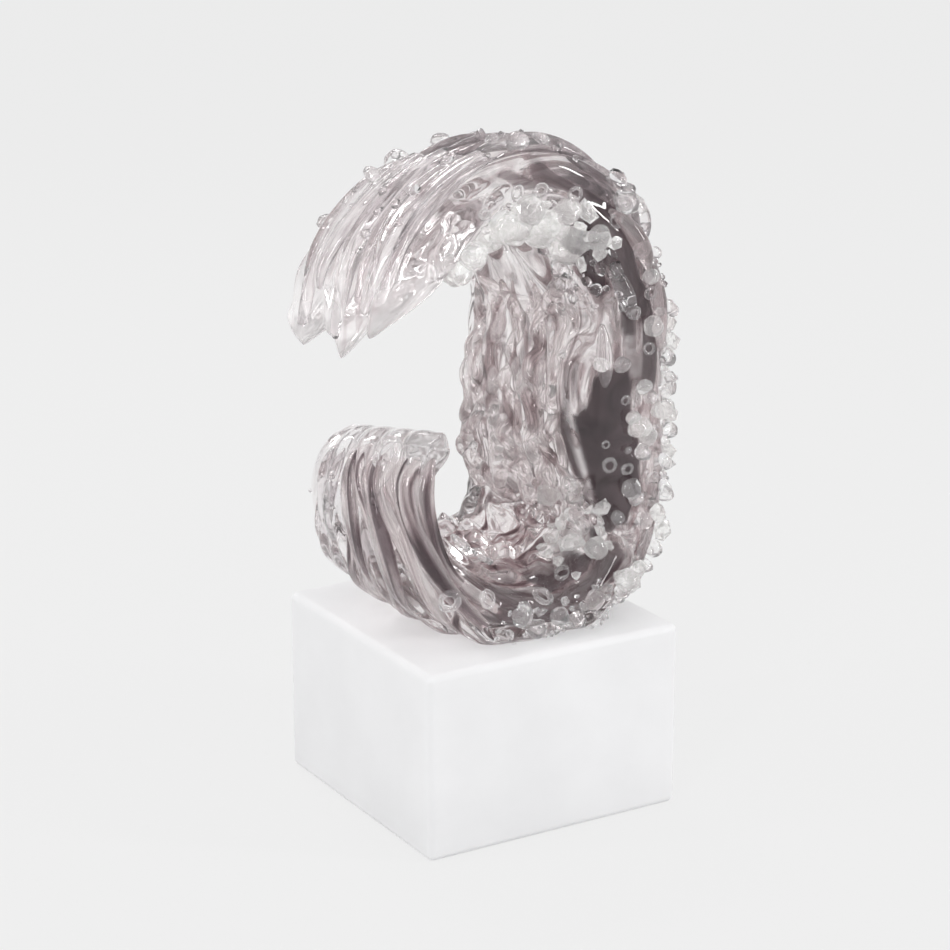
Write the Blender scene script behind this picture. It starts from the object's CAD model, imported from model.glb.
# %% [markdown]
# # A glass wave on an opal plinth
# The sculpture is a breaking wave worked hot out of clear glass over a dark aubergine core. Ropes,
# tongues, drops and beads of glass were laid on while it was soft, and the finished wave stands
# loose on a square block of opal acrylic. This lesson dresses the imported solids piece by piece.

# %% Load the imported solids
import math

import bpy
import numpy as np
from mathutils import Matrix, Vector


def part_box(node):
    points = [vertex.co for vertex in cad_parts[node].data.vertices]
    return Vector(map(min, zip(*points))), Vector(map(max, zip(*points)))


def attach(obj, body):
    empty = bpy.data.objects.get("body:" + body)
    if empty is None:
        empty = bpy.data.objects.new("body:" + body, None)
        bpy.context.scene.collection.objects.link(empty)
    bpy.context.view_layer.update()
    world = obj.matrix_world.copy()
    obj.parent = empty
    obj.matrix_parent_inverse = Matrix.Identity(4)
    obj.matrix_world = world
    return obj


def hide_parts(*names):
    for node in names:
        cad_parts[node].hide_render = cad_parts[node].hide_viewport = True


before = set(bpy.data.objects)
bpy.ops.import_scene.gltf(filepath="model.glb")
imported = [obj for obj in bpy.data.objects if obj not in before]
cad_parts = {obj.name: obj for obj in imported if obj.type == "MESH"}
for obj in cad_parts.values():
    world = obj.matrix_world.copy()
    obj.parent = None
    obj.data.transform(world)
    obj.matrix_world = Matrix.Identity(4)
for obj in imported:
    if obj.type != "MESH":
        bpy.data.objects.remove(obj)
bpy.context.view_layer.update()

MM = 0.001
scene = bpy.context.scene
scene.view_settings.view_transform = "Standard"

# %% [markdown]
# ## Small helpers
# Colours are written as sRGB hex, as they are picked by eye, and one function turns them linear.
# One function adds any shader node with its settings, values and links, so a material reads as a list.
# A node that is given as a value is linked from its first output. Clear glass would throw a shadow as
# dark as a stone's, because its bent light isn't traced to the lamps, so only the plinth and the dark
# core cast one.

# %% Colours and nodes
def linear(hex_colour):
    channels = [int(hex_colour[i:i + 2], 16) / 255 for i in (1, 3, 5)]
    return [c / 12.92 if c <= 0.04045 else ((c + 0.055) / 1.055) ** 2.4 for c in channels] + [1.0]


def add_node(tree, kind, values=None, stops=(), **settings):
    """Adds a node. values go to its sockets, stops to its colour ramp, settings to the node itself."""
    made = tree.nodes.new("ShaderNode" + kind)
    for name, value in settings.items():
        setattr(made, name, value)
    if stops:
        elements = made.color_ramp.elements
        while len(elements) < len(stops):
            elements.new(0.5)
        for element, (position, hex_colour) in zip(elements, stops):
            element.position = position
            element.color = linear(hex_colour)
    for socket, value in (values or {}).items():
        if isinstance(value, bpy.types.Node):
            value = value.outputs[0]
        if isinstance(value, bpy.types.NodeSocket):
            tree.links.new(value, made.inputs[socket])
        else:
            made.inputs[socket].default_value = value
    return made


def new_material(name):
    material = bpy.data.materials.new(name)
    material.use_nodes = True
    material.node_tree.nodes.clear()
    return material, material.node_tree


print("middle grey, linear:", round(linear("#808080")[0], 3))

# %% Selecting and finishing
SHADOW_SLOTS = ("opal_acrylic", "aubergine_glass")


def deselect():
    if bpy.context.object and bpy.context.object.mode != "OBJECT":
        bpy.ops.object.mode_set(mode="OBJECT")
    bpy.ops.object.select_all(action="DESELECT")


def pick(*objects):
    deselect()
    for item in objects:
        item.select_set(True)
    bpy.context.view_layer.objects.active = objects[0]


def apply_modifier(piece, kind, **settings):
    pick(piece)
    modifier = piece.modifiers.new(kind.title(), kind)
    for name, value in settings.items():
        setattr(modifier, name, value)
    bpy.ops.object.modifier_apply(modifier=modifier.name)


def finish_piece(piece, name, material, slot, *nodes, body="wave"):
    piece.name = name
    piece.data.name = name
    piece.data.materials.clear()
    piece.data.materials.append(material)
    piece.visible_shadow = slot in SHADOW_SLOTS
    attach(piece, body)
    if nodes:
        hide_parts(*nodes)


print("slots that cast a shadow:", *SHADOW_SLOTS)

# %% [markdown]
# ## Camera
# The plinth is a square block, so the picture of its corners gives the camera: it stands to the left
# of the smooth side, a little above, about a metre and a half away, with a long lens.

# %% Camera at the photograph's angle
CAMERA_AT = (-0.7120, -1.1804, 0.5990)
CAMERA_AZIMUTH = -30.97
CAMERA_ELEVATION = 17.18
FOCAL_PIXELS = 2778.9
FRAME_PIXELS = 950
SENSOR_MM = 36

deselect()
bpy.ops.object.camera_add(
    location=CAMERA_AT,
    rotation=(math.radians(90 - CAMERA_ELEVATION), 0, math.radians(CAMERA_AZIMUTH)),
)
camera = bpy.context.object
camera.data.sensor_width = SENSOR_MM
camera.data.lens = FOCAL_PIXELS / FRAME_PIXELS * SENSOR_MM
scene.camera = camera
print("lens mm:", round(camera.data.lens, 1))

# %% [markdown]
# ## Floor, sky and light
# The photograph has a pale, almost shadowless surround. The floor is a big plane that shows one pale
# grey to the camera, to reflections and to what is seen through the glass, mixed with a plain lit
# floor so that a soft shadow stays. The sky is that same grey behind the floor's edge, and even for
# matt surfaces. For glass it has a darker band round the room, because clear glass is drawn by the dark
# edges that it picks up.

# %% Floor
BACKGROUND = "#EFEFEF"
FLOOR_SIZE = 14.0
EVEN_SHARE = 0.9

deselect()
bpy.ops.mesh.primitive_plane_add(size=FLOOR_SIZE, location=(0, 0, 0))
floor = bpy.context.object
floor.name = "studio_floor"

floor_material, tree = new_material("studio_floor_paper")
path = add_node(tree, "LightPath")
seen = add_node(tree, "Math", {0: path.outputs["Is Camera Ray"], 1: path.outputs["Is Glossy Ray"]},
                operation="MAXIMUM")
seen = add_node(tree, "Math", {0: seen, 1: path.outputs["Is Transmission Ray"]}, operation="MAXIMUM")
share = add_node(tree, "Math", {0: seen, 1: EVEN_SHARE}, operation="MULTIPLY")
lit = add_node(tree, "BsdfDiffuse", {"Color": linear("#E6E6E6")})
even = add_node(tree, "Emission", {"Color": linear(BACKGROUND), "Strength": 1.0})
mixed = add_node(tree, "MixShader", {0: share, 1: lit, 2: even})
add_node(tree, "OutputMaterial", {"Surface": mixed})
floor.data.materials.append(floor_material)
print("floor side m:", FLOOR_SIZE)

# %% Sky
world = bpy.data.worlds.new("studio_room")
scene.world = world
world.use_nodes = True
tree = world.node_tree
tree.nodes.clear()
path = add_node(tree, "LightPath")
where = add_node(tree, "TexCoord")
split = add_node(tree, "SeparateXYZ", {0: where.outputs["Generated"]})
height = add_node(tree, "Math", {0: split.outputs["Z"]}, operation="ABSOLUTE")
room = add_node(tree, "ValToRGB", {"Fac": height}, [
    (0.0, BACKGROUND), (0.12, "#E8E6E7"), (0.24, "#7C7679"), (0.36, "#857F82"), (0.48, "#EFEEEE"),
    (1.0, "#FFFFFF")])
through = add_node(tree, "Math", {0: path.outputs["Is Glossy Ray"], 1: path.outputs["Is Transmission Ray"]},
                   operation="MAXIMUM")
even = add_node(tree, "Background", {"Color": linear("#F2F2F2"), "Strength": 0.83})
banded = add_node(tree, "Background", {"Color": room, "Strength": 1.0})
backdrop = add_node(tree, "Background", {"Color": linear(BACKGROUND), "Strength": 1.0})
mixed = add_node(tree, "MixShader", {0: through, 1: even, 2: banded})
mixed = add_node(tree, "MixShader", {0: path.outputs["Is Camera Ray"], 1: mixed, 2: backdrop})
add_node(tree, "OutputWorld", {"Surface": mixed})
print("sky nodes:", len(tree.nodes))

# %% Softboxes
SOFTBOXES = [
    ((-1.1, -0.9, 0.8), (0.18, 0.6), 3.9),
    ((1.0, -1.0, 0.7), (0.12, 0.6), 6.0),
    ((0.1, 1.2, 1.2), (0.5, 0.2), 3.6),
    ((-0.2, -0.1, 1.7), (0.3, 0.3), 0.8),
    ((-1.2, 0.3, 0.7), (0.1, 0.6), 2.3),
]
AIM = Vector((0, 0, 0.25))
for place, size, power in SOFTBOXES:
    deselect()
    bpy.ops.object.light_add(type="AREA", location=place)
    lamp = bpy.context.object
    lamp.data.shape = "RECTANGLE"
    lamp.data.size, lamp.data.size_y = size
    lamp.data.energy = power
    lamp.rotation_euler = (AIM - lamp.location).to_track_quat("-Z", "Y").to_euler()
    lamp.visible_camera = False
scene.cycles.max_bounces = 20
scene.cycles.transmission_bounces = 16
scene.cycles.transparent_max_bounces = 16
print("softboxes:", len(SOFTBOXES))

# %% [markdown]
# ## Plinth
# The plinth is a solid block of opal acrylic, cut, eased along its edges and left satin. A cube with
# a bevel gives the eased edge a soft highlight. Opal acrylic scatters light just under its face, so
# it gets a little subsurface glow, and fine sanding shows only as a slight change of gloss. The patterns
# of this and every later material are noise, with cells of a real size in millimetres.

# %% Opal acrylic
GRIT_MM = 1.5
HAZE_MM = 55.6
GLOW_MM = 12


def pattern(tree, cell_mm, own_way=False, **noise):
    """Noise on the object's axes, or down, through and across a piece that keeps its own way.
    cell_mm is the size of its cells in these three directions."""
    if own_way:
        source = add_node(tree, "Attribute", attribute_name="flow").outputs["Vector"]
    else:
        source = add_node(tree, "TexCoord").outputs["Object"]
    place = add_node(tree, "Mapping", {"Vector": source, "Scale": [1 / (mm * MM) for mm in cell_mm]})
    return add_node(tree, "TexNoise", {"Vector": place, "Scale": 1.0, **noise}).outputs["Fac"]


opal, tree = new_material("opal_acrylic_satin_cut")
grit = pattern(tree, (GRIT_MM,) * 3, Detail=4.0)
haze = pattern(tree, (HAZE_MM,) * 3, Detail=3.0)
milk = add_node(tree, "ValToRGB", {"Fac": haze}, [(0.3, "#E7E7E8"), (0.7, "#EDEDEE")])
satin = add_node(tree, "MapRange", {"Value": grit, "To Min": 0.46, "To Max": 0.58})
shader = add_node(tree, "BsdfPrincipled", {
    "Base Color": milk, "Roughness": satin, "IOR": 1.49, "Subsurface Weight": 0.25,
    "Subsurface Radius": (GLOW_MM * MM,) * 3, "Subsurface Scale": 0.4,
})
add_node(tree, "OutputMaterial", {"Surface": shader})
print("opal acrylic nodes:", len(tree.nodes))

# %% Plinth block
PLINTH_EASE_MM = 4
low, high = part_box("plinth_block")
plinth_top = high.z
deselect()
bpy.ops.mesh.primitive_cube_add(size=1, location=(low + high) / 2)
plinth = bpy.context.object
bpy.ops.transform.resize(value=high - low)
bpy.ops.object.transform_apply(location=True, rotation=True, scale=True)
apply_modifier(plinth, "BEVEL", width=PLINTH_EASE_MM * MM, segments=8, limit_method="ANGLE")
bpy.ops.object.shade_smooth_by_angle(angle=math.radians(40))
finish_piece(plinth, "opal_plinth", opal, "opal_acrylic", "plinth_block", body="plinth")
print("plinth faces:", len(plinth.data.polygons))

# %% [markdown]
# ## The shape of the sheet
# The wave is one thick sheet, curled up from the toe through the bowl and the spine to the crest.
# It could be sculpted by hand, but a loft can be measured. It goes through four rails, the corners of
# its section: near outer, near inner, far outer and far inner. The same rails are in the solids, so a
# place is given as a share along the sheet, a share from the inner to the outer face, and a share from
# the near to the far side.

# %% Rails
WAVE_DEPTH = 114.0
WAVE_FRONT = -54.0
SHEET_LENGTH = 720.0
HALF_THICK = 18.0
HALF_DEPTH = WAVE_DEPTH / 2
RAILS = np.array([
    [[-66, 122], [-42, 114], [-51, 94], [-32, 90]],
    [[-76, 82], [-52, 92], [-75, 70], [-43, 79]],
    [[-64, 30], [-43, 54], [-66, 28], [-36, 55]],
    [[-33, 1], [-12, 27], [-38, 1], [-14, 41]],
    [[0, -6], [8, 21], [-4, -6], [0, 39]],
    [[34, -2], [29, 21], [32, -3], [9, 39]],
    [[68, 21], [47, 40], [66, 20], [16, 47]],
    [[84, 60], [38, 69], [81, 60], [14, 70]],
    [[87, 112], [23, 112], [84, 112], [15, 106]],
    [[82, 174], [28, 169], [77, 172], [20, 150]],
    [[62, 225], [21, 204], [55, 213], [13, 183]],
    [[17, 253], [-8, 217], [9, 236], [-12, 195]],
    [[-26, 245], [-27, 209], [-34, 225], [-38, 186]],
    [[-58, 218], [-47, 191], [-73, 194], [-63, 162]],
    [[-62, 200], [-55, 188], [-80, 170], [-74, 158]],
], float)
print("places on each rail:", len(RAILS))


# %% Sheet
def rails_at(along):
    """The four rail points at each share along the sheet, on a centripetal spline."""
    last = len(RAILS) - 1
    knots = np.concatenate([2 * RAILS[:1] - RAILS[1:2], RAILS, 2 * RAILS[-1:] - RAILS[-2:-1]])
    spot = np.clip(along, 0, 1) * last
    step = np.minimum(spot.astype(int), last - 1)
    t = (spot - step)[:, None, None]
    p0, p1, p2, p3 = (knots[step + k] for k in range(4))
    d0, d1, d2 = (np.sqrt(np.linalg.norm(b - a, axis=2))[..., None]
                  for a, b in ((p0, p1), (p1, p2), (p2, p3)))
    enter = d1 * ((p1 - p0) / d0 - (p2 - p0) / (d0 + d1) + (p2 - p1) / d1)
    leave = d1 * ((p2 - p1) / d1 - (p3 - p1) / (d1 + d2) + (p3 - p2) / d2)
    return (p1 + enter * t + (-3 * p1 + 3 * p2 - 2 * enter - leave) * t ** 2
            + (2 * p1 - 2 * p2 + enter + leave) * t ** 3)


def sheet(along, out, y, outer_wall=0.0, inner_wall=0.0):
    """Points of the sheet in millimetres; walls move the faces inwards."""
    share = ((y - WAVE_FRONT) / WAVE_DEPTH)[:, None]
    rails = rails_at(along)
    outer = rails[:, 0] * (1 - share) + rails[:, 2] * share
    inner = rails[:, 1] * (1 - share) + rails[:, 3] * share
    inward = inner - outer
    inward /= np.linalg.norm(inward, axis=1)[:, None]
    outer = outer + inward * np.reshape(outer_wall, (-1, 1))
    inner = inner - inward * np.reshape(inner_wall, (-1, 1))
    mixed = inner + (outer - inner) * ((out + 1) / 2)[:, None]
    return np.stack([mixed[:, 0], y, mixed[:, 1] + plinth_top / MM], axis=1)


print("outer face of the spine mm:", sheet(*np.array([[0.5], [1.0], [0.0]])).round(1).tolist())

# %% [markdown]
# ## A place on the skin
# The section is a squarish oval: nearly flat faces down the spine, rounder at the toe and the crest,
# where the glass was left to the flame. A direction in the section picks a place on its skin, and
# beads and ropes are laid at such places. The lip is drawn out into three blades.

# %% Squarish section
def smooth_step(low, high, value):
    t = np.clip((value - low) / (high - low), 0, 1)
    return t * t * (3 - 2 * t)


def zone(value, start, end, soft):
    """1 between start and end, falling to 0 over the soft edge."""
    return smooth_step(start - soft, start + soft, value) * (1 - smooth_step(end - soft, end + soft, value))


def squareness(along):
    return 2.6 + 1.9 * zone(along, 0.22, 0.66, 0.06)


def on_oval(along, out, depth):
    """Stretches a direction in the section to the squarish oval."""
    power = squareness(along)
    size = (abs(out) ** power + abs(depth) ** power) ** (-1 / power)
    return out * size, depth * size


def spread_out(*values):
    return np.broadcast_arrays(*(np.atleast_1d(np.asarray(v, float)) for v in values))


print("squareness at the toe and the spine:", squareness(0.0), squareness(0.5))

# %% Blades and skin
BLADES = [
    (0.66, 0.38, (-8, -24), 0.45),
    (0.04, 0.34, (-11, -33), 0.62),
    (-0.58, 0.34, (-20, -24), 0.7),
]
BLADE_ROOT = 0.86


def blade_reach(along, depth):
    """How far the lip is drawn out into its three blades, in millimetres."""
    drawn = np.clip((along - BLADE_ROOT) / (1 - BLADE_ROOT), 0, 1) ** 1.6
    moved = np.zeros((len(along), 3))
    for middle, half, (reach_x, reach_z), shape in BLADES:
        share = np.clip(1 - abs(depth - middle) / half, 0, 1) ** shape
        moved[:, 0] += drawn * share * reach_x
        moved[:, 2] += drawn * share * reach_z
    return moved


def skin(along, out, depth):
    along, out, depth = spread_out(along, out, depth)
    out, depth = on_oval(along, out, depth)
    return sheet(along, out, WAVE_FRONT + HALF_DEPTH * (1 + depth)) + blade_reach(along, depth)


def skin_normal(along, out, depth):
    step = 0.01
    along, out, depth = spread_out(along, out, depth)
    middle = np.clip(along, step, 1 - step)
    turn = np.arctan2(depth, out)
    forward = skin(middle + step, out, depth) - skin(middle - step, out, depth)
    sideways = (skin(middle, np.cos(turn + step), np.sin(turn + step))
                - skin(middle, np.cos(turn - step), np.sin(turn - step)))
    normal = np.cross(sideways, forward)
    return normal / np.linalg.norm(normal, axis=1)[:, None]


print("toe tip mm:", skin(0.0, 1, 0).round(1).tolist(), "lip mm:", skin(1.0, 1, 0).round(1).tolist())

# %% [markdown]
# ## Broad ridges
# Soft glass shows how it was pulled. Ten broad ridges run along the sheet, as in the solids, and sway
# as they go. The near side of the spine was pressed smooth on a flat plate, so they die out there. They
# could be carved, but a formula lets all that is laid on the skin be lifted with them.

# %% Broad ridges
RIDGE_COUNT = 10
RIDGE_HEIGHT = 4.0
RIDGE_SINK = 0.3
RIDGE_SWAY = 0.5
RIDGE_BENDS = 3
RIDGE_SLANT = 4
TOE_ROUNDING = 0.032
LIP_ROUNDING = 0.05
TURNS = np.linspace(0, 2 * math.pi, 4001)
OUTLINE = np.stack(on_oval(np.full_like(TURNS, 0.5), np.cos(TURNS), np.sin(TURNS)))
OUTLINE_STEPS = np.hypot(*(np.diff(OUTLINE) * [[HALF_THICK], [HALF_DEPTH]]))
RING_SHARES = np.concatenate([[0], np.cumsum(OUTLINE_STEPS) / OUTLINE_STEPS.sum()])


def end_rounding(share):
    reach = np.minimum(np.minimum(share / TOE_ROUNDING, (1 - share) / LIP_ROUNDING), 1)
    return np.sqrt(np.clip(1 - (1 - reach) ** 2, 0, 1))


def pressed_flat(along, depth):
    return smooth_step(0.78, 0.95, -depth) * zone(along, 0.43, 0.60, 0.04)


def calm_lip(along):
    return 1 - 0.7 * smooth_step(0.90, 0.98, along)


def ridges(along, out, depth):
    ring = np.interp(np.arctan2(depth, out) % (2 * math.pi), TURNS, RING_SHARES)
    sway = RIDGE_SWAY * np.sin(2 * math.pi * RIDGE_BENDS * along)
    wave = np.sin(math.pi * (RIDGE_COUNT * ring + RIDGE_SLANT * along + sway)) ** 2
    return RIDGE_HEIGHT * (wave - RIDGE_SINK) * (1 - pressed_flat(along, depth)) * calm_lip(along)


def lifted(along, out, depth, height):
    """Places over the ridged skin, in millimetres."""
    along, out, depth, height = spread_out(along, out, depth, height)
    raised = height + ridges(along, *on_oval(along, out, depth)) * end_rounding(along)
    return skin(along, out, depth) + skin_normal(along, out, depth) * raised[:, None]


print("ridges:", RIDGE_COUNT, "highest mm:", round(RIDGE_HEIGHT * (1 - RIDGE_SINK), 2))

# %% [markdown]
# ## Finer ropes
# Between the ridges lie finer ropes, round on top and sharp where two meet. A block of seeded random
# numbers, blended smoothly, makes them wander and fade. Inside the barrel they fold over each other.
# They could be a bump in the material, but only real height bends what is seen through the glass.

# %% Smooth random values
CUBE_SIDE = 32


def cloud(x, y, z, seed):
    """Smooth random values from 0 to 1 on a repeating cube."""
    table = np.random.default_rng(seed).random((CUBE_SIDE,) * 3)
    cell = [np.floor(v).astype(int) for v in (x, y, z)]
    part = [v - c for v, c in zip((x, y, z), cell)]
    part = [f * f * (3 - 2 * f) for f in part]
    total = 0.0
    for corner in np.ndindex(2, 2, 2):
        weight = 1.0
        for f, bit in zip(part, corner):
            weight = weight * (f if bit else 1 - f)
        index = tuple((c + bit) % CUBE_SIDE for c, bit in zip(cell, corner))
        total = total + weight * table[index]
    return total


def pulled_cloud(run, out, depth, long_mm, wide_mm, seed):
    """Random values stretched along the pull: long_mm down the sheet, wide_mm across it."""
    return cloud(run / long_mm, out * HALF_THICK / wide_mm, depth * HALF_DEPTH / wide_mm, seed)


print("random values in the cube:", CUBE_SIDE ** 3)

# %% Ropes and creases
def ropes(run, out, depth, ring, count, slant, wander, seed):
    """Finer ropes side by side, a whole count of them round the section."""
    shift = wander * (2 * pulled_cloud(run, out, depth, 70, 30, seed) - 1)
    shift += 0.35 * wander * (2 * pulled_cloud(run, out, depth, 24, 14, seed + 1) - 1)
    across = 2 * ((count * ring + slant * run + shift) % 1) - 1
    full = 0.3 + 0.7 * pulled_cloud(run, out, depth, 36, 16, seed + 2)
    return full * np.sqrt(np.clip(1 - across ** 2, 0, 1))


def creases(run, out, depth, long_mm, wide_mm, seed):
    """Lines that wander between lumps, as where soft threads fold over each other."""
    return (1 - abs(2 * pulled_cloud(run, out, depth, long_mm, wide_mm, seed) - 1)) ** 2


BARREL = (0.42, 0.66)
CRUMPLE_MM = 40


def inside_barrel(along, out):
    return zone(along, *BARREL, 0.05) * smooth_step(0.0, 0.6, -out)


def crumpled(along, out, depth):
    """The place on the pull. Inside the barrel the threads are pushed together and aside."""
    run = along * SHEET_LENGTH
    inside = inside_barrel(along, out)
    aside = inside * CRUMPLE_MM * (pulled_cloud(run, out, depth, 24, 17, 140) - 0.5)
    ahead = inside * CRUMPLE_MM * (pulled_cloud(run, out, depth, 22, 15, 141) - 0.5)
    packed = SHEET_LENGTH * (np.clip(along, *BARREL) - BARREL[0])
    return run + packed + ahead, out, depth + aside / HALF_DEPTH


print("length of the barrel mm:", round((BARREL[1] - BARREL[0]) * SHEET_LENGTH))


# %% Ripple height
def ripple_height(along, out, depth, ring):
    """Ridges, ropes and creases over the skin, in millimetres, each kind in its own part of the sheet."""
    at = (along * SHEET_LENGTH, out, depth)
    pushed = crumpled(along, out, depth)
    crest = smooth_step(0.62, 0.74, along)
    toe = 1 - smooth_step(0.20, 0.34, along)
    inner = smooth_step(0.2, 0.6, -out)
    pressed = pressed_flat(along, depth)
    veil = 2.6 - 4.2 * creases(*pushed, 60, 25, 20) - 1.2 * creases(*pushed, 32, 15, 21)
    fold = 0.6 * ropes(*at, ring, 13, 0.006, 0.8, 30) - 0.4 * creases(*at, 60, 16, 40) - 0.1
    rope = 0.9 * ropes(*at, ring, 14, -0.004, 1.0, 50) - 0.4 * creases(*at, 50, 14, 60) - 0.2
    back = 1.2 * ropes(*at, ring, 18, 0.0, 1.0, 70) + 1.4 * creases(*at, 18, 12, 80) - 1.0
    outside = crest * fold + (1 - crest) * (toe * rope + (1 - toe) * back)
    fine = (inner * veil + (1 - inner) * outside) * calm_lip(along) * (1 - pressed)
    broad = ridges(along, out, depth) * (1 - 0.5 * inside_barrel(along, out))
    return broad + fine + pressed * 0.6 * pulled_cloud(*at, 40, 20, 90)


print("ripple on the crest mm:", ripple_height(*spread_out(0.8, 1.0, 0.0, 0.0)).round(2).tolist())

# %% [markdown]
# ## Places on the near face
# Much of what is seen lies on the near side, so places there are given as they are measured in the
# photograph: across, and up from the plinth, in millimetres. A fine grid of places on the skin is kept
# with its spots, and the nearest spot gives the place.

# %% Near face
def near_face(along, out):
    points = sheet(along, out, np.full_like(along, WAVE_FRONT))
    return np.stack([points[:, 0], points[:, 2] - plinth_top / MM], axis=1)


NEAR_GRID = np.stack(np.meshgrid(np.linspace(0.01, 0.99, 500), np.linspace(-0.96, 0.96, 80)), -1)
NEAR_GRID = NEAR_GRID.reshape(-1, 2)
NEAR_POINTS = near_face(*NEAR_GRID.T)


def near_place(spot):
    """Along, out and depth of the skin at a spot of the near face."""
    along, out = NEAR_GRID[np.argmin(np.linalg.norm(NEAR_POINTS - spot, axis=1))]
    power = squareness(np.array([along]))[0]
    return along, out, -(1 - abs(out) ** power) ** (1 / power)


def from_line(flat, line):
    """How far each spot of the near face lies from a line drawn through spots."""
    nearest = np.full(len(flat), np.inf)
    for a, b in zip(np.array(line[:-1], float), np.array(line[1:], float)):
        t = np.clip((flat - a) @ (b - a) / ((b - a) @ (b - a)), 0, 1)[:, None]
        nearest = np.minimum(nearest, np.linalg.norm(flat - a - t * (b - a), axis=1))
    return nearest


print("spots on the near face:", len(NEAR_POINTS))

# %% [markdown]
# ## Dark strokes
# The dark glass shows on the near side as one broad panel and as strokes over the shoulder and round the
# bowl. They could be painted in a picture, but lines in millimetres keep a sharp edge. Each is a line
# through spots of the near face, with half its width and how dark it is. Its edges are torn, as where
# glass was pulled apart.

# %% Dark strokes
DARK_LINES = [
    ([(44, 119), (42, 108), (45, 90), (48, 70)], 18, 1.0),
    ([(33, 211), (35, 198), (39, 180)], 6, 0.9),
    ([(38, 226), (52, 210), (62, 197), (70, 180)], 10, 0.9),
    ([(76, 176), (79, 150), (78, 130)], 4, 0.7),
    ([(9, 243), (19, 239)], 6, 0.85),
    ([(-6, 242), (2, 240)], 5, 0.8),
    ([(60, 165), (58, 150), (64, 128)], 5, 0.7),
    ([(58, 70), (52, 58), (45, 48), (34, 35), (16, 25), (-4, 26)], 3, 0.95),
    ([(-16, 20), (10, 15), (30, 18), (50, 34)], 7, 0.9),
    ([(-46, 42), (-30, 34)], 7, 0.85),
    ([(66, 198), (72, 176), (75, 152), (75, 126)], 8, 0.95),
    ([(45, 200), (53, 180), (57, 158)], 6, 0.92),
    ([(24, 238), (34, 230)], 5, 0.9),
]


def torn_edge(along, out, depth):
    return 2 * pulled_cloud(along * SHEET_LENGTH, out, depth, 14, 6, 130) - 1


def dark_strokes(along, out, torn):
    flat = near_face(along, out)
    dark = np.zeros(len(along))
    for line, half, strength in DARK_LINES:
        edge = half * (1 + 0.35 * torn)
        stroke = 1 - smooth_step(edge - 1, edge + 1, from_line(flat, line))
        dark = np.maximum(dark, strength * stroke)
    return dark


print("dark strokes:", len(DARK_LINES))

# %% [markdown]
# ## Rolling a grid into the sheet
# A flat grid is rolled up: one way of the grid becomes the length of the sheet, the other goes once
# round its section in even steps. A round bar could be bent instead, but a grid keeps its faces in rows
# along the pull. The ends draw in to a round edge, so merging doubles closes both the long seam and the
# two ends. Each point keeps its place on the pull as an attribute, which the materials then follow. The
# very end of the toe was rounded in the flame, so its points are smoothed.

# %% Grid tools
MERGE_MM = 0.02
TOE_CAP = 0.02
TOE_CAP_PASSES = 30


def grid_shares(piece):
    """How far each point lies along the flat grid and across it. The points come in rows along it."""
    flat = np.empty(len(piece.data.vertices) * 3)
    piece.data.vertices.foreach_get("co", flat)
    return (flat[0::3] + 1) / 2, (flat[1::3] + 1) / 2


def grid_normals(points, row_length):
    """The way out of the rolled grid at each point, the same on both sides of the seam."""
    grid = points.reshape(-1, row_length, 3)
    normal = np.cross(np.gradient(grid, axis=0), np.gradient(grid, axis=1))
    normal[0] = normal[-1] = normal[0] + normal[-1]
    normal /= np.maximum(np.linalg.norm(normal, axis=2, keepdims=True), 1e-6)
    return normal.reshape(-1, 3)


def store(piece, name, kind, values):
    """Keeps one value for each point of the piece, for its material to read."""
    layer = piece.data.attributes.new(name, kind, "POINT")
    field = "vector" if kind == "FLOAT_VECTOR" else "value"
    layer.data.foreach_set(field, np.ravel(values).astype(np.float32))


def close_sheet(piece, start):
    """Merges the seam and both ends, and smooths the end of the toe."""
    bpy.ops.object.mode_set(mode="EDIT")
    bpy.ops.mesh.select_all(action="SELECT")
    bpy.ops.mesh.remove_doubles(threshold=MERGE_MM * MM)
    bpy.ops.mesh.normals_make_consistent(inside=False)
    bpy.ops.mesh.select_mode(type="VERT")
    bpy.ops.mesh.select_all(action="DESELECT")
    bpy.ops.object.mode_set(mode="OBJECT")
    kept = np.empty(len(piece.data.vertices) * 3, np.float32)
    piece.data.attributes["flow"].data.foreach_get("vector", kept)
    piece.data.vertices.foreach_set("select", kept[::3] < (start + TOE_CAP) * SHEET_LENGTH * MM)
    bpy.ops.object.mode_set(mode="EDIT")
    bpy.ops.mesh.vertices_smooth(factor=0.5, repeat=TOE_CAP_PASSES)
    bpy.ops.object.mode_set(mode="OBJECT")
    bpy.ops.object.shade_smooth()


print("the toe is smoothed over mm:", TOE_CAP * SHEET_LENGTH)

# %% Rolled sheet
END_CROWDING = 0.7
FOOT_CLEARANCE_MM = 0.05
NO_WALLS = (0.0, 0.0, 0.0, 0.0)


def even_ring(shares):
    """Directions round the section at even steps of its outline."""
    picked = np.interp(shares, RING_SHARES, TURNS)
    return np.cos(picked), np.sin(picked)


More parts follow.
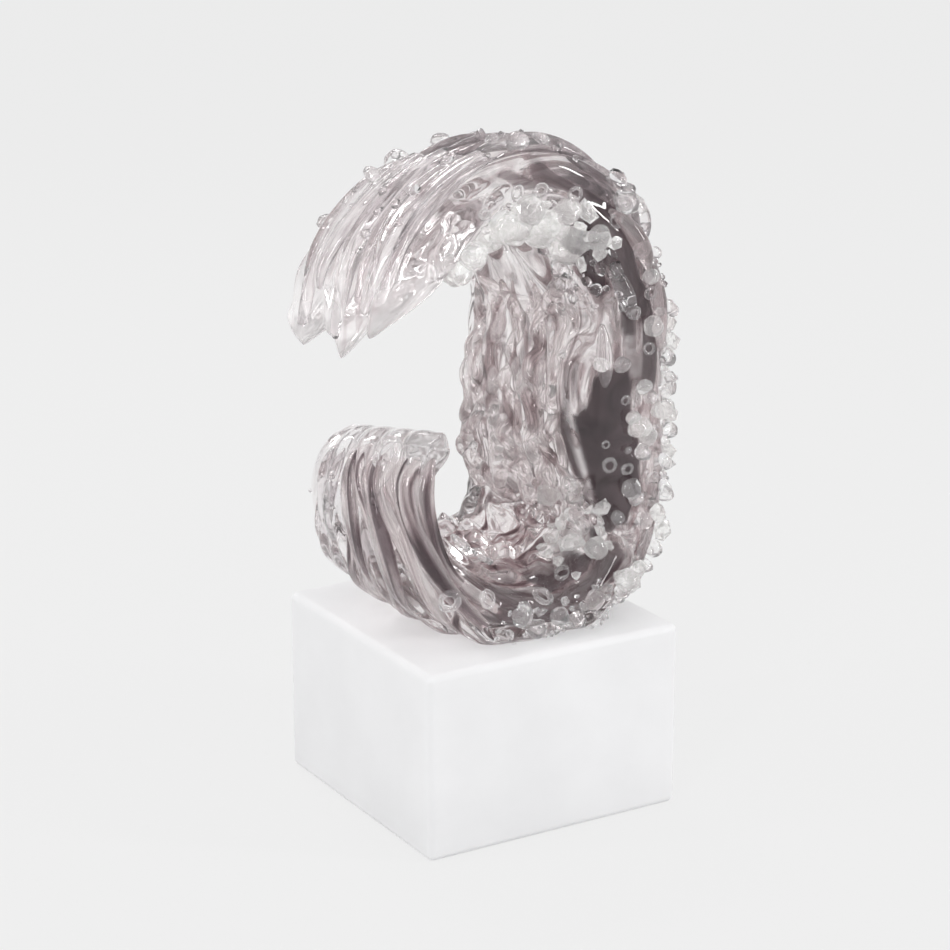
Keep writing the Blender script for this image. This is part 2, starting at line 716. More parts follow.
def rolled_sheet(steps, start, end, tones, walls=None, ripple=0.0):
    """tones gives the values that each point keeps, walls the clear glass over the sheet on its sides."""
    deselect()
    bpy.ops.mesh.primitive_grid_add(x_subdivisions=steps[0], y_subdivisions=steps[1], size=2)
    piece = bpy.context.object
    share, ring = grid_shares(piece)
    share = share - END_CROWDING * np.sin(2 * math.pi * share) / (2 * math.pi)
    along = start + (end - start) * share
    out, depth = on_oval(along, *even_ring(ring))
    round_off = end_rounding(share)
    outer_wall, inner_wall, near_wall, far_wall = walls(along) if walls else NO_WALLS
    near, far = WAVE_FRONT + near_wall, WAVE_FRONT + WAVE_DEPTH - far_wall
    y = (near + far) / 2 + (far - near) / 2 * depth
    points = sheet(along, out * round_off, y, outer_wall, inner_wall) + blade_reach(along, depth)
    height = ripple * ripple_height(along, out, depth, ring) * round_off
    points = points + grid_normals(points, steps[0] + 1) * height[:, None]
    points[:, 2] = np.maximum(points[:, 2], plinth_top / MM + FOOT_CLEARANCE_MM)
    piece.data.vertices.foreach_set("co", (points * MM).ravel())
    flow = np.stack(crumpled(along, out, depth), axis=1) * [1, HALF_THICK, HALF_DEPTH]
    store(piece, "flow", "FLOAT_VECTOR", flow * MM)
    for name, values in tones(along, out, depth).items():
        store(piece, name, "FLOAT", values)
    close_sheet(piece, start)
    return piece


print("rings are even over steps:", len(TURNS) - 1)

# %% Casing
CASING_STEPS = (440, 224)


def casing_tones(along, out, depth):
    """Both ends are cloudy, and the shoulder has smoky strokes near the surface."""
    shoulder = zone(along, 0.60, 0.78, 0.03) * smooth_step(0.35, 0.6, -depth)
    smoke = shoulder * dark_strokes(along, out, torn_edge(along, out, depth))
    cloudy = 0.35 * smooth_step(0.92, 0.99, along) + 0.16 * smooth_step(-0.06, -0.03, -along)
    return {"cloudy": cloudy, "smoke": smoke}


casing = rolled_sheet(CASING_STEPS, 0.0, 1.0, casing_tones, ripple=1.0)
print("casing faces:", len(casing.data.polygons))

# %% [markdown]
# ## Clear glass
# Clear glass, left bright by the flame. Light passes and bends at an index of 1.5. The gather isn't
# quite colourless: thin mauve threads were picked up with it, and they run along the pull, so their
# noise is fine across it and long down it. Over the shoulder some of the dark glass came right up to the
# surface. The blades of the lip and the end of the toe were worked longest and are a little cloudy with
# bubbles.

# %% Clear glass
clear, tree = new_material("clear_glass_fire_polished")
threads = pattern(tree, (80, 8, 8), True, Detail=2.0, Distortion=0.8)
tint = add_node(tree, "ValToRGB", {"Fac": threads}, [
    (0.30, "#D6CECF"), (0.40, "#F5F2F2"), (0.60, "#FEFDFD"), (0.78, "#EAE5E5")])
smoke = add_node(tree, "Attribute", attribute_name="smoke")
tint = add_node(tree, "Mix", {0: smoke.outputs["Fac"], 6: tint, 7: linear("#8A7E82")}, data_type="RGBA")
cloudy = add_node(tree, "Attribute", attribute_name="cloudy")
passed = add_node(tree, "Math", {0: 1.0, 1: cloudy.outputs["Fac"]}, operation="SUBTRACT")
shader = add_node(tree, "BsdfPrincipled", {
    "Base Color": tint.outputs[2], "Roughness": 0.02, "IOR": 1.5, "Transmission Weight": passed,
})
add_node(tree, "OutputMaterial", {"Surface": shader})
finish_piece(casing, "clear_casing", clear, "clear_glass", "wave_casing")
print("clear glass nodes:", len(tree.nodes))

# %% [markdown]
# ## Aubergine core
# Under the clear skin lies the coloured gather. On the near side of the spine it is a solid dark
# aubergine; down the barrel and over the toe it was pulled out into veils, mauve and nearly clear by
# turns; and over the crest it thins to grey. Colour could be mixed into the casing itself, but a sheet
# of its own has depth under the clear glass. It is the same rolled grid, set in from the skin. Two more
# attributes say how dark and how dense the colour is at each point.

# %% Core glass
core_glass, tree = new_material("aubergine_glass_pulled_veils")
plum = add_node(tree, "Attribute", attribute_name="plum")
dense = add_node(tree, "Attribute", attribute_name="dense")
veils = pattern(tree, (80, 15, 15), True, Detail=2.0, Roughness=0.45, Distortion=1.8)
lines = pattern(tree, (95, 18, 18), True, Detail=1.0, Distortion=1.2)
blots = pattern(tree, (40, 20, 20), True, Detail=3.0, Distortion=0.6)
veil_tint = add_node(tree, "ValToRGB", {"Fac": veils}, [
    (0.34, "#624F52"), (0.42, "#9E898B"), (0.50, "#DCCFCF"), (0.60, "#F1EBEA"), (0.75, "#FAF7F6")])
thread = add_node(tree, "ValToRGB", {"Fac": lines}, [
    (0.460, "#FFFFFF"), (0.475, "#6E5D60"), (0.490, "#FFFFFF"), (0.578, "#FFFFFF"), (0.59, "#8A797C"),
    (0.602, "#FFFFFF")])
dark_tint = add_node(tree, "ValToRGB", {"Fac": blots}, [(0.3, "#3D3236"), (0.7, "#5C4F52")])
streaked = add_node(tree, "Mix", {0: 1.0, 6: veil_tint, 7: thread}, data_type="RGBA", blend_type="MULTIPLY")
tint = add_node(tree, "Mix", {0: plum.outputs["Fac"], 6: streaked.outputs[2], 7: dark_tint}, data_type="RGBA")
colour = add_node(tree, "BsdfPrincipled", {"Base Color": tint.outputs[2], "Roughness": 0.35, "IOR": 1.5,
                                           "Specular IOR Level": 0.1})
thin = add_node(tree, "MapRange", {"Value": veils, "From Min": 0.37, "From Max": 0.51, "To Min": 2.3,
                                   "To Max": 0.35})
cover = add_node(tree, "Math", {0: thin, 1: dense.outputs["Fac"]}, operation="MULTIPLY", use_clamp=True)
cover = add_node(tree, "Math", {0: cover, 1: plum.outputs["Fac"]}, operation="MAXIMUM")
gap = add_node(tree, "BsdfTransparent")
mixed = add_node(tree, "MixShader", {0: cover, 1: gap, 2: colour})
add_node(tree, "OutputMaterial", {"Surface": mixed})
print("core glass nodes:", len(tree.nodes))

# %% Core
CORE_STEPS = (360, 200)
CORE_RUN = (0.05, 0.97)


def core_walls(along):
    """The clear glass over the core on its outer, inner, near and far side, in millimetres."""
    toe = 1 - smooth_step(0.18, 0.32, along)
    crest = smooth_step(0.62, 0.74, along)
    return 9 + 4 * toe, 4.5, 2 + 4 * toe + 8 * crest, 12 + 14 * toe


def core_colour(along, out, depth):
    """How dark the core is at each point, and how densely its veils cover."""
    at = (along * SHEET_LENGTH, out, depth)
    near = smooth_step(0.72, 0.86, -depth)
    inner = smooth_step(0.1, 0.5, -out)
    torn = torn_edge(along, out, depth)
    lines = dark_strokes(along, out, torn)
    pools = smooth_step(0.24, 0.38, pulled_cloud(*at, 30, 9, 120))
    bowl = zone(along + 0.03 * torn, 0.19, 0.43, 0.03)
    crease = inner * smooth_step(0.0, 0.6, -depth) * zone(along + 0.03 * torn, 0.24, 0.46, 0.03)
    turned = inner * smooth_step(0.60, 0.72, 0.1 * torn - depth) * zone(along + 0.01 * torn, 0.48, 0.58, 0.01)
    plum = near * np.maximum(lines, 0.9 * pools * bowl)
    plum = np.maximum(plum, (1 - near) * np.maximum(0.95 * pools * crease, 0.95 * turned))
    crest = smooth_step(0.60, 0.74, along)
    toe = 1 - smooth_step(0.20, 0.32, along)
    dense = 0.28 * (1 - crest) + 0.12 * crest - 0.06 * toe + 0.38 * bowl
    return {"plum": np.clip(plum, 0, 1), "dense": dense}


core = rolled_sheet(CORE_STEPS, *CORE_RUN, core_colour, core_walls)
finish_piece(core, "aubergine_core", core_glass, "aubergine_glass", "wave_core")
print("core faces:", len(core.data.polygons))

# %% [markdown]
# ## Ropes of glass
# A rope is drawn from a hot bit and laid along a path. It could be built up face by face, but a path
# curve with a round bevel and its own radius at each point gives the taper at once. Ropes that touch are
# melted together: joined, remeshed at under a millimetre and smoothed. The melted rope is a closed skin
# with soft creases.

# %% Rope and melt
def rope_curve(points, radii):
    deselect()
    bpy.ops.curve.primitive_nurbs_path_add()
    piece = bpy.context.object
    spline = piece.data.splines[0]
    spline.points.add(len(points) - len(spline.points))
    for knot, place, radius in zip(spline.points, points, radii):
        knot.co = (*(np.asarray(place) * MM), 1)
        knot.radius = radius * MM
    spline.use_endpoint_u = True
    spline.order_u = 4
    piece.data.resolution_u = 6
    piece.data.bevel_depth = 1.0
    piece.data.bevel_resolution = 4
    piece.data.use_fill_caps = True
    bpy.ops.object.convert(target="MESH")
    return bpy.context.object


def melt(pieces, voxel_mm, smoothing):
    pick(*pieces)
    if len(pieces) > 1:
        bpy.ops.object.join()
    piece = bpy.context.object
    apply_modifier(piece, "REMESH", mode="VOXEL", voxel_size=voxel_mm * MM)
    apply_modifier(piece, "SMOOTH", factor=0.5, iterations=smoothing)
    bpy.ops.object.shade_smooth()
    return piece


# %% Ropes on the skin
FLANKS = ((0, 0.8), (-1, 0.58), (1, 0.58))


def skin_rope(run, place_at, thick, sink, sway, seed, ends=0.3, count=12, lean=1.0):
    """A rope laid on the skin. place_at gives the direction in the section at each share of its length.
    A lean under 1 puts the thickest place nearer the start."""
    shares = np.linspace(0, 1, count)
    out, depth = place_at(shares)
    depth = depth + sway * (2 * cloud(shares * 5, 0 * shares + seed * 0.37, 0 * shares, seed) - 1)
    radii = thick * (ends + (1 - ends) * np.clip(np.sin(math.pi * shares ** lean), 0, 1) ** 0.6)
    along = run[0] + (run[1] - run[0]) * shares
    return rope_curve(lifted(along, out, depth, radii * (1 - sink)), radii)


def three_ropes(run, place_at, thick, sink, sway, seed, **shape):
    """A fat rope with a thin one on either flank. place_at also takes the side: -1, 0 or 1."""
    return [skin_rope(run, lambda s: place_at(s, side), thick * share, sink, sway, seed + side, **shape)
            for side, share in FLANKS]


print("ropes side by side:", len(FLANKS))

# %% [markdown]
# ## Streaked glass
# The ropes are clear glass with mauve pulled through it, and the more mauve, the less light passes.
# Streaks could be stripes in a picture, but noise that is stretched along the rope has no seam. Most
# ropes run in planes across Y, so their streaks are fine in Y and long in X and Z. The strands round
# the toe bend too much for that, so their streaks follow the way that each strand keeps.

# %% Streaked glass
STREAK_MM = 45


def tinted_glass(name, cell_mm, stops, transmission, roughness=0.03, detail=1.0, distortion=1.2,
                 own_way=False):
    material, tree = new_material(name)
    streaks = pattern(tree, cell_mm, own_way, Detail=detail, Distortion=distortion)
    tint = add_node(tree, "ValToRGB", {"Fac": streaks}, stops)
    shader = add_node(tree, "BsdfPrincipled", {"Base Color": tint, "Roughness": roughness, "IOR": 1.5,
                                               "Transmission Weight": transmission})
    add_node(tree, "OutputMaterial", {"Surface": shader})
    print("glass:", name)
    return material


mauve = tinted_glass("mauve_glass_streaked", (2 * STREAK_MM, 6, 6), [
    (0.34, "#5E4F54"), (0.41, "#A89A9D"), (0.47, "#E8E1E1"), (0.60, "#FAF8F7"), (0.67, "#B5A8AA"),
    (0.74, "#F0ECEC")], 0.82, distortion=0.6, own_way=True)
fold_glass = tinted_glass("grey_mauve_glass_folded", (STREAK_MM, 9, STREAK_MM), [
    (0.34, "#7E7377"), (0.42, "#D2CBCD"), (0.54, "#F9F7F7"), (0.70, "#BDB4B7")], 0.92)
smoky_fold = tinted_glass("grey_mauve_glass_smoky", (STREAK_MM, 9, STREAK_MM), [
    (0.34, "#5F5559"), (0.42, "#A79DA1"), (0.54, "#DDD7D9"), (0.70, "#857B7F")], 0.92)
tongue_glass = tinted_glass("clear_glass_drawn_tongues", (STREAK_MM, 8, STREAK_MM), [
    (0.28, "#CFC8CB"), (0.42, "#F2EFF0"), (0.60, "#FDFCFC"), (0.78, "#E3DEE0")], 0.95)
rose = tinted_glass("rose_opal_glass_dabbed", (STREAK_MM, 6, STREAK_MM), [
    (0.32, "#C4B4B6"), (0.5, "#E6DCDC"), (0.68, "#F8F4F4")], 0.85)

# %% [markdown]
# ## Folds over the crest
# Long folds slant over the top from the near side to the back, thick in the middle and lost at both
# ends. They could be more ripples of the casing, but as ropes they keep a crease along each edge. Each
# is a fat rope with a thin one on either flank. The two in the middle have more smoke in them.

# %% Crest folds
FOLD_DEPTHS = np.linspace(0.72, -0.76, 6)
FOLD_RUN = (0.68, 0.83)
SMOKY_FOLDS = (3, 4)
for number, middle in enumerate(FOLD_DEPTHS, 1):
    strands = three_ropes(FOLD_RUN, lambda s, side: (1.0, middle - 0.2 + 0.26 * s + side * 0.075),
                          7 if number % 2 == 0 else 8, 1.1, 0.04, 11 * number + 1)
    glass = smoky_fold if number in SMOKY_FOLDS else fold_glass
    finish_piece(melt(strands, 0.9, 14), f"fold_{number}", glass, "mauve_glass", f"crest_fold_{number}")
print("folds:", len(FOLD_DEPTHS))

# %% [markdown]
# ## Fingers of the crest
# Where the crest breaks, fingers of clear glass run out over the blades of the lip. Each is three ropes
# side by side that meet at the tip, so a blade is ridged like a feather. One flat tongue wouldn't be.

# %% Fingers
FINGERS = [
    (0.70, 9, 0.995),
    (0.46, 7, 0.972),
    (0.06, 9, 0.995),
    (-0.16, 7, 0.985),
    (-0.54, 9, 0.995),
    (-0.78, 8, 0.985),
]
for number, (depth, half, end) in enumerate(FINGERS, 1):
    strands = three_ropes((FOLD_RUN[1], end), lambda s, side: (1.0, depth + side * 0.09 * (1 - s ** 2)),
                          0.7 * half, 0.9, 0.02, 13 * number + 200, ends=0.45)
    finish_piece(melt(strands, 0.8, 10), f"finger_{number}", tongue_glass, "clear_glass",
                 f"crest_finger_{number}")
print("fingers:", len(FINGERS))

# %% [markdown]
# ## Strands round the toe
# The toe is wrapped in S-shaped strands that rise out of the bowl and turn over at the top. They are
# made as the folds are. Each keeps the way down and across it as an attribute, so that its bands of mauve
# follow the bends. The last one, on the far side, is clear.

# %% Toe strands
TOE_TURNS = np.radians(np.linspace(-96, 36, 6))
TOE_RUN = (0.03, 0.21)
CLEAR_STRAND = 6
WAY_POINTS = 120
STRANDS_APART_MM = 40.0


def strand_way(shares, turn, number, side=0):
    """The direction in the section of a strand, which sways as it rises."""
    bend = turn + 0.22 * np.sin(5 * shares + 0.6 * number) + side * 0.11
    return np.cos(bend), np.sin(bend)


def keep_own_way(piece, path, up, number):
    """Stores how far down a strand each point lies, and how far to the side."""
    steps = np.gradient(path, axis=0)
    side = np.cross(up, steps) / np.linalg.norm(steps, axis=1)[:, None]
    run = np.cumsum(np.linalg.norm(steps, axis=1))
    points = np.array([vertex.co for vertex in piece.data.vertices]) / MM
    nearest = np.array([np.argmin(np.linalg.norm(path - point, axis=1)) for point in points])
    across = ((points - path[nearest]) * side[nearest]).sum(axis=1)
    flow = np.stack([run[nearest], across, np.full(len(points), STRANDS_APART_MM * number)], axis=1)
    store(piece, "flow", "FLOAT_VECTOR", flow * MM)


for number, turn in enumerate(TOE_TURNS, 1):
    strands = three_ropes(TOE_RUN, lambda s, side: strand_way(s, turn, number, side),
                          0.85 * (7.5 if number % 2 == 0 else 6.5), 0.9, 0.03, 7 * number + 40,
                          ends=0.15, lean=0.5)
    piece = melt(strands, 0.8, 8)
    shares = np.linspace(0, 1, WAY_POINTS)
    middle = (TOE_RUN[0] + (TOE_RUN[1] - TOE_RUN[0]) * shares, *strand_way(shares, turn, number))
    keep_own_way(piece, lifted(*middle, 0.0), skin_normal(*middle), number)
    glass = tongue_glass if number == CLEAR_STRAND else mauve
    finish_piece(piece, f"toe_rope_{number}", glass, "mauve_glass", f"toe_strand_{number}")
print("toe strands:", len(TOE_TURNS))

# %% [markdown]
# ## Bead glass
# Beads are clear, seedy with a few small bubbles, or milky where the glass was stirred full of them.
# Bubbles of that size could only be specks, so they show as a fine cloud in the colour and let less
# light through.

# %% Bead glass
BUBBLES = {"cell_mm": (3, 3, 3), "detail": 4.0, "distortion": 0.0}
bead_clear = tinted_glass("clear_glass_dabbed_beads", stops=[(0.35, "#F1EEEF"), (0.6, "#FFFFFF")],
                          transmission=1.0, roughness=0.02, **BUBBLES)
bead_milky = tinted_glass("milky_glass_bubbled", stops=[(0.35, "#EAE9E8"), (0.65, "#FCFCFB")],
                          transmission=0.80, roughness=0.08, **BUBBLES)
bead_seedy = tinted_glass("clear_glass_seedy_drops", stops=[(0.35, "#EEECEC"), (0.6, "#FFFFFF")],
                          transmission=0.92, roughness=0.02, **BUBBLES)

# %% [markdown]
# ## Drops on the shoulder
# A drop is a short fat rope that was let run a little. These lie on the dark panels of the shoulder. A
# stretched ball would do, but a rope on the skin bends with it.

# %% Drops
DROPS = [
    ((0.72, 0.1, -1), (0.66, 0.42, -1), 6),
    ((0.675, -0.3, -1), (0.63, -0.05, -1), 6),
    ((0.655, 0.66, -1), (0.605, 0.62, -1), 5),
    ((0.72, 1, -0.8), (0.67, 1, -0.74), 6.5),
    ((0.65, 1, -0.72), (0.605, 1, -0.76), 5.5),
    ((0.63, -0.62, -1), (0.59, -0.45, -1), 5.5),
]
for number, (start, end, half) in enumerate(DROPS, 1):
    shares = np.linspace(0, 1, 9)
    along, out, depth = (start + np.subtract(end, start) * shares[:, None]).T
    radii = half * 0.85 * (0.28 + 0.72 * np.sin(math.pi * shares ** 1.3) ** 0.7)
    piece = melt([rope_curve(lifted(along, out, depth, radii * 0.45), radii)], 0.7, 6)
    glass = rose if number % 2 else tongue_glass
    finish_piece(piece, f"drop_{number}", glass, "foam_glass", f"lobe_{number}")
print("drops:", len(DROPS))

# %% [markdown]
# ## Beads
# A bead is a ball of hot glass pressed into the skin and pulled a little out of round. It could be
# sculpted, but there are many, so each is an ico sphere, stretched, turned and dented by a cloud texture.

# %% Single beads
BEAD_DETAIL = 3
BEAD_SINK = 0.35
DENTS = bpy.data.textures.new("bead_dents", "CLOUDS")
DENTS.noise_scale = 6 * MM


def out_of_round(piece, stretch, dents_mm):
    """Stretches and dents a ball or a ring."""
    piece.scale = stretch
    bpy.ops.object.transform_apply(location=True, rotation=True, scale=True)
    apply_modifier(piece, "DISPLACE", texture=DENTS, texture_coords="GLOBAL", strength=dents_mm * MM)
    bpy.ops.object.shade_smooth()
    return piece


def bead(place, radius, seed):
    random = np.random.default_rng(seed)
    middle = lifted(*place, radius * (1 - BEAD_SINK))[0] * MM
    deselect()
    bpy.ops.mesh.primitive_ico_sphere_add(subdivisions=BEAD_DETAIL, radius=radius * MM, location=middle)
    piece = bpy.context.object
    piece.rotation_euler = random.uniform(0, math.pi, 3)
    return out_of_round(piece, random.uniform(0.82, 1.14, 3), 0.65 * radius)


BEAD_ROWS = [
    ("spine_bead", 8, (0.43, 0.60), (5.5, 4.5), [(1, -0.62), (0.9, -1)]),
    ("foot_bead", 6, (0.24, 0.40), (5.5, 5), [(-0.3, -1), (0.1, -1)]),
    ("face_bead", 3, (0.48, 0.54), (4.5, 5.5), [(0.15, -1), (-0.2, -1)]),
    ("crest_bead", 4, (0.70, 0.90), (6.5, 5.5), [(1, 0.98), (0.86, 1)]),
]
taken = []
for row, (node, count, run, radii, places) in enumerate(BEAD_ROWS):
    for i in range(count):
        place = (run[0] + (run[1] - run[0]) * i / (count - 1), *places[i % 2])
        piece = bead(place, radii[i % 2], 300 + 20 * row + i)
        taken.append((skin(*place)[0], radii[i % 2]))
        finish_piece(piece, f"{node}_drop_{i + 1}", bead_seedy, "foam_glass", f"{node}_{i + 1}")
print("single beads:", len(taken))

# %% [markdown]
# ## Veils in the barrel
# Inside the barrel the water runs down in strings that broke up and curled. Each string is a thin rope
# with short curled ropes laid across it, melted into one, in mauve glass that is a little clouded. One
# rope alone would look like a pipe.

# %% Veil strands
VEIL_DEPTHS = np.linspace(-0.66, 0.64, 5)
VEIL_RUN = (0.45, 0.67)
VEIL_CURLS = 9
veil_glass = tinted_glass("mauve_glass_clouded_veils", (STREAK_MM, 8, STREAK_MM), [
    (0.34, "#A09092"), (0.42, "#D2C8C8"), (0.50, "#F3EFEF"), (0.70, "#FCFBFA")], 0.88)
for number, middle in enumerate(VEIL_DEPTHS, 1):
    random = np.random.default_rng(80 + number)
    strings = [skin_rope(VEIL_RUN, lambda s: (-1.0, middle + 0.06 * np.sin(8 * s)), 3.0, 1.0, 0.14,
                         5 * number)]
    for along in np.linspace(*VEIL_RUN, VEIL_CURLS + 2)[1:-1]:
        reach, slant, phase = random.uniform(0.012, 0.028), random.uniform(-0.3, 0.3), random.uniform(0, 6)
        aside = middle + random.uniform(-0.1, 0.1)
        run = max(along - reach, VEIL_RUN[0]), min(along + reach, VEIL_RUN[1])
        strings.append(skin_rope(
            run, lambda s: (-1.0, aside + slant * (s - 0.5) + 0.09 * np.sin(5 * s + phase)),
            random.uniform(2.8, 5), 1.0, 0.05, 900 + 10 * number + len(strings), ends=0.4, count=8))
    finish_piece(melt(strings, 0.8, 4), f"veil_{number}", veil_glass, "mauve_glass", f"veil_strand_{number}")
print("veils:", len(VEIL_DEPTHS))

# %% [markdown]
# ## Foam under the crest
# Foam is a cluster of beads that melted into each other, milky with bubbles. Loose beads would show
# their whole outlines, so the beads of a cluster are melted as the ropes are.

# %% Foam
FOAM_RADIUS = 8.5
FOAM_RUN = np.linspace(0.71, 0.90, 5)
FOAM_BALLS = 3
for number, along in enumerate(FOAM_RUN, 1):
    balls = []
    for k in range(FOAM_BALLS):
        place = (along + (0.004 if k % 2 else -0.004), -0.9 + 0.26 * k, -0.9)
        balls.append(bead(place, FOAM_RADIUS * (1 - 0.08 * k), 100 + 10 * number + k))
        taken.append((skin(*place)[0], FOAM_RADIUS * 0.8))
    finish_piece(melt(balls, 0.8, 3), f"foam_{number}", bead_milky, "foam_glass", f"foam_cluster_{number}")
print("foam clusters:", len(FOAM_RUN))

# %% [markdown]
# ## Drops on the near side
# Single drops sit on the dark panel, on the shoulder and along the bowl, some seedy, some milky. Each is
# given by its spot on the near face and its radius. Where a drop sank right into the dark glass only its
# thick rim stands up. A sunken ball would hardly show there, so that one is a ring, pulled out of round.

# %% Near drops
SEEDY_DROPS = [
    (54, 92, 2.5), (48, 139, 4.5), (40, 57, 5), (50, 57, 4.5), (59, 66, 4), (50, 220, 6.5), (72, 190, 4),
    (-9, 17, 3.5), (62, 92, 3.5), (66, 118, 4),
]
MILKY_DROPS = [
    (60, 104, 6), (65, 98, 5), (56, 110, 4), (62, 125, 4.5), (38, 140, 4.2), (47, 36, 6), (51, 25, 7),
    (73, 111, 5.5), (72, 56, 5), (17, 217, 6), (6, 219, 7), (67, 212, 5.5), (68, 156, 5), (64, 182, 4.5),
]
RIMS = [
    (42, 96, 2.6), (44, 85, 4.8), (55, 82, 3.2), (37, 74, 4.6), (36, 46, 5.5), (30, 25, 5), (6, 18, 6),
    (-18, 30, 6), (-52, 33, 6), (-24, 48, 6), (-31, 26, 5.5), (53, 119, 3), (57, 163, 4.5), (66, 144, 4),
    (68, 172, 4), (58, 196, 4), (44, 212, 4.5), (22, 228, 4), (2, 232, 3.5), (-12, 232, 4), (-32, 224, 3.5),
]
STRAND_RISE = 4.0


def rim(place, radius, seed):
    """A ring on the skin, or on top of the strands where these run under it."""
    up = Vector(skin_normal(*place)[0])
    rise = STRAND_RISE if place[0] < TOE_RUN[1] else 0.1 * radius
    deselect()
    bpy.ops.mesh.primitive_torus_add(
        location=lifted(*place, rise)[0] * MM, rotation=up.to_track_quat("Z", "Y").to_euler(),
        major_radius=0.75 * radius * MM, minor_radius=0.27 * radius * MM,
        major_segments=28, minor_segments=12,
    )
    stretch = np.random.default_rng(seed).uniform(0.8, 1.2, 3)
    return out_of_round(bpy.context.object, stretch, 0.4 * radius)


for name, drops, make, material in (("near_drops", SEEDY_DROPS, bead, bead_seedy),
                                    ("near_milk", MILKY_DROPS, bead, bead_milky),
                                    ("near_rims", RIMS, rim, bead_seedy)):
    pieces = []
    for number, (across, up, radius) in enumerate(drops):
        place = near_place((across, up))
        pieces.append(make(place, radius, 700 + 51 * number))
        taken.append((skin(*place)[0], radius))
    pick(*pieces)
    bpy.ops.object.join()
    finish_piece(bpy.context.object, name, material, "foam_glass")
    print(name, len(drops))

# %% [markdown]
# ## Curl on the toe
# On the end of the toe a thin rope of seedy glass curls up like a snail shell. It is one rope along a
# spiral of places on the skin, given by share along and direction across. A spiral drawn flat would
# have to be wrapped on first.

# %% Toe swirl
SWIRL = [(0.075, -0.50), (0.046, -0.72), (0.022, -0.76), (0.012, -0.60), (0.016, -0.40), (0.033, -0.34),
         (0.045, -0.47), (0.036, -0.58)]
SWIRL_RADIUS = 2.6
along, depth = np.array(SWIRL).T
radii = SWIRL_RADIUS * np.linspace(1.0, 0.6, len(SWIRL))
swirl = melt([rope_curve(lifted(along, 1.0, depth, radii * 0.8), radii)], 0.6, 4)
finish_piece(swirl, "toe_swirl", bead_seedy, "clear_glass")
print("swirl faces:", len(swirl.data.polygons))

# %% [markdown]
# ## Seed beads
# Between the larger beads the skin is strewn with seeds of glass, from a radius of just over a
# millimetre up. Each could be modelled by itself, but there are hundreds. So a few pebble shapes with few
# faces are modelled once, and copies are turned, sized and set where there is room. Others were laid on
# as chips of broken glass, so they are coarser, more dented and shaded flat.

# %% Pebble shapes
PEBBLE_DENTS = bpy.data.textures.new("pebble_dents", "CLOUDS")
PEBBLE_DENTS.noise_scale = 0.9


def pebble(stretch, dents, detail=2):
    """The points and faces of a dented ball, for a radius of one."""
    deselect()
    bpy.ops.mesh.primitive_ico_sphere_add(subdivisions=detail, radius=1)
    piece = bpy.context.object
    piece.scale = stretch
    bpy.ops.object.transform_apply(location=True, rotation=True, scale=True)
    apply_modifier(piece, "DISPLACE", texture=PEBBLE_DENTS, texture_coords="LOCAL", strength=dents)
    points = np.array([vertex.co for vertex in piece.data.vertices])
    faces = np.array([face.vertices for face in piece.data.polygons])
    bpy.data.objects.remove(piece)
    return points, faces


PEBBLES = [pebble((1, 1, 0.9), 0.4), pebble((1.3, 0.85, 0.8), 0.7), pebble((0.9, 1.15, 1.1), 0.9)]
CHIPS = [pebble((1.1, 1, 0.8), 1.1, 1), pebble((1.3, 0.9, 0.9), 1.4, 1), pebble((0.9, 1.2, 1.2), 1.6, 1)]
print("faces of a pebble:", len(PEBBLES[0][1]), "of a chip:", len(CHIPS[0][1]))

# %% Strewn pebbles
PEBBLE_SINK = 0.3
TRIES = 12
SMALL_ONES = 2.2


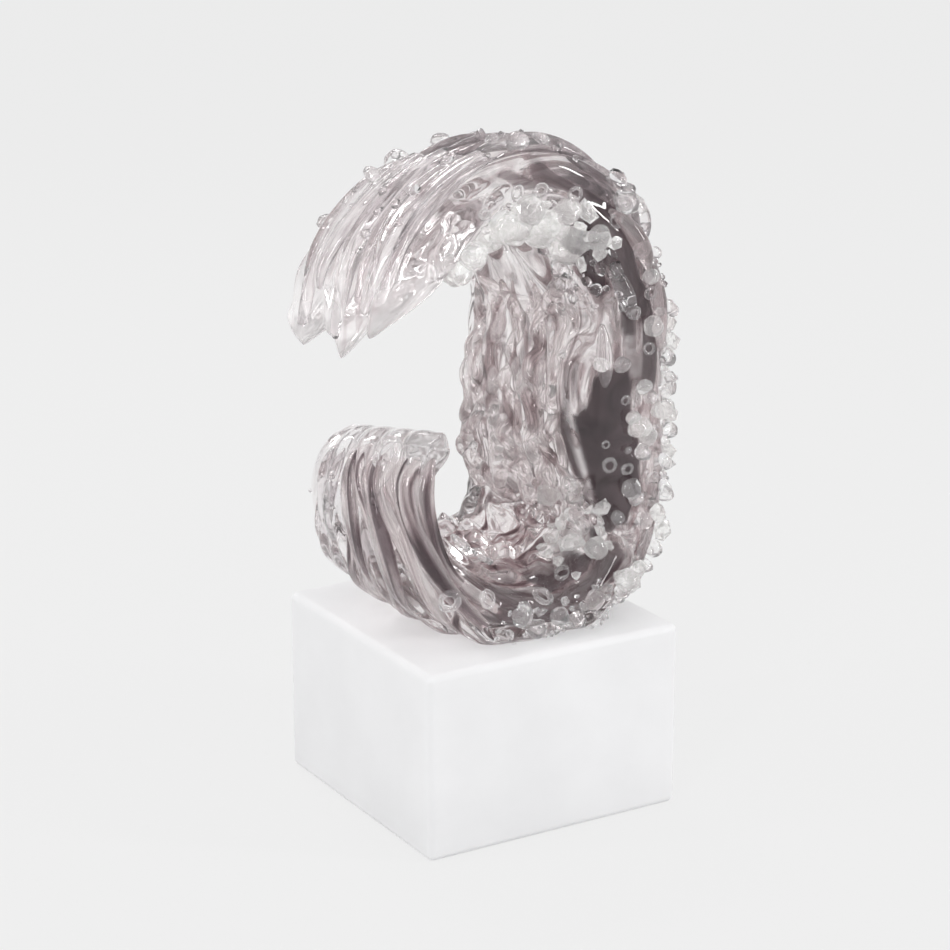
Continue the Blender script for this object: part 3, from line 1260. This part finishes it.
def strewn(name, material, count, run, turn, radii, seed, crowd=0.8, shapes=PEBBLES):
    """Pebbles strewn over part of the skin: run along it, turn round the section in degrees."""
    random = np.random.default_rng(seed)
    points, faces, base = [], [], 0
    for _ in range(count * TRIES):
        along, angle = random.uniform(*run), math.radians(random.uniform(*turn))
        radius = radii[0] + (radii[1] - radii[0]) * random.random() ** SMALL_ONES
        place = (along, math.cos(angle), math.sin(angle))
        at = skin(*place)[0]
        spin = random.uniform(0, 2 * math.pi)
        shape = shapes[random.integers(len(shapes))]
        if any(np.linalg.norm(at - other) < crowd * (radius + size) for other, size in taken):
            continue
        taken.append((at, radius))
        up = skin_normal(*place)[0]
        pull = (skin(min(along + 0.005, 1), *place[1:]) - skin(along - 0.005, *place[1:]))[0]
        aside = np.cross(up, pull) / np.linalg.norm(np.cross(up, pull))
        length = math.cos(spin) * np.cross(aside, up) + math.sin(spin) * aside
        axes = np.stack([length, np.cross(up, length), up])
        points.append(shape[0] @ axes * radius + lifted(*place, radius * (1 - PEBBLE_SINK)))
        faces.append(shape[1] + base)
        base += len(shape[0])
        if len(points) == count:
            break
    mesh = bpy.data.meshes.new(name)
    mesh.from_pydata((np.concatenate(points) * MM).tolist(), [], np.concatenate(faces).tolist())
    piece = bpy.data.objects.new(name, mesh)
    scene.collection.objects.link(piece)
    pick(piece)
    if shapes is PEBBLES:
        bpy.ops.object.shade_smooth()
    finish_piece(piece, name, material, "foam_glass")
    print(name, len(points))


print("tries for each pebble:", TRIES)

# %% Strewing
strewn("spine_milk", bead_milky, 22, (0.40, 0.62), (-58, -15), (3.5, 6.5), 501, shapes=CHIPS)
strewn("spine_seeds", bead_seedy, 150, (0.36, 0.64), (-60, -5), (1.6, 4.8), 502, crowd=0.65)
strewn("shoulder_milk", bead_milky, 16, (0.68, 0.86), (-150, -100), (3, 6), 503, shapes=CHIPS)
strewn("shoulder_seeds", bead_clear, 46, (0.64, 0.88), (-150, -95), (1.6, 6), 504, crowd=0.7)
strewn("rim_seeds", bead_clear, 30, (0.60, 0.78), (-62, -30), (1.6, 5.5), 514)
strewn("top_drops", bead_seedy, 18, (0.66, 0.88), (-45, 75), (3.5, 6.5), 515, crowd=1.0)
strewn("crest_seeds", bead_clear, 40, (0.68, 0.93), (-40, 60), (1.5, 4), 505)
strewn("foot_seeds", bead_seedy, 40, (0.22, 0.42), (-125, -45), (1.5, 4.5), 506, shapes=CHIPS)
strewn("toe_seeds", bead_clear, 14, (0.06, 0.26), (-40, 60), (1.2, 2.6), 508)
strewn("barrel_chips", bead_milky, 16, (0.36, 0.50), (-165, -130), (2.5, 7), 509, shapes=CHIPS)
strewn("foot_milk", bead_milky, 8, (0.34, 0.43), (-75, -30), (4, 8), 513, shapes=CHIPS)
strewn("back_seeds", bead_clear, 70, (0.34, 0.72), (-5, 75), (1.8, 5), 510)
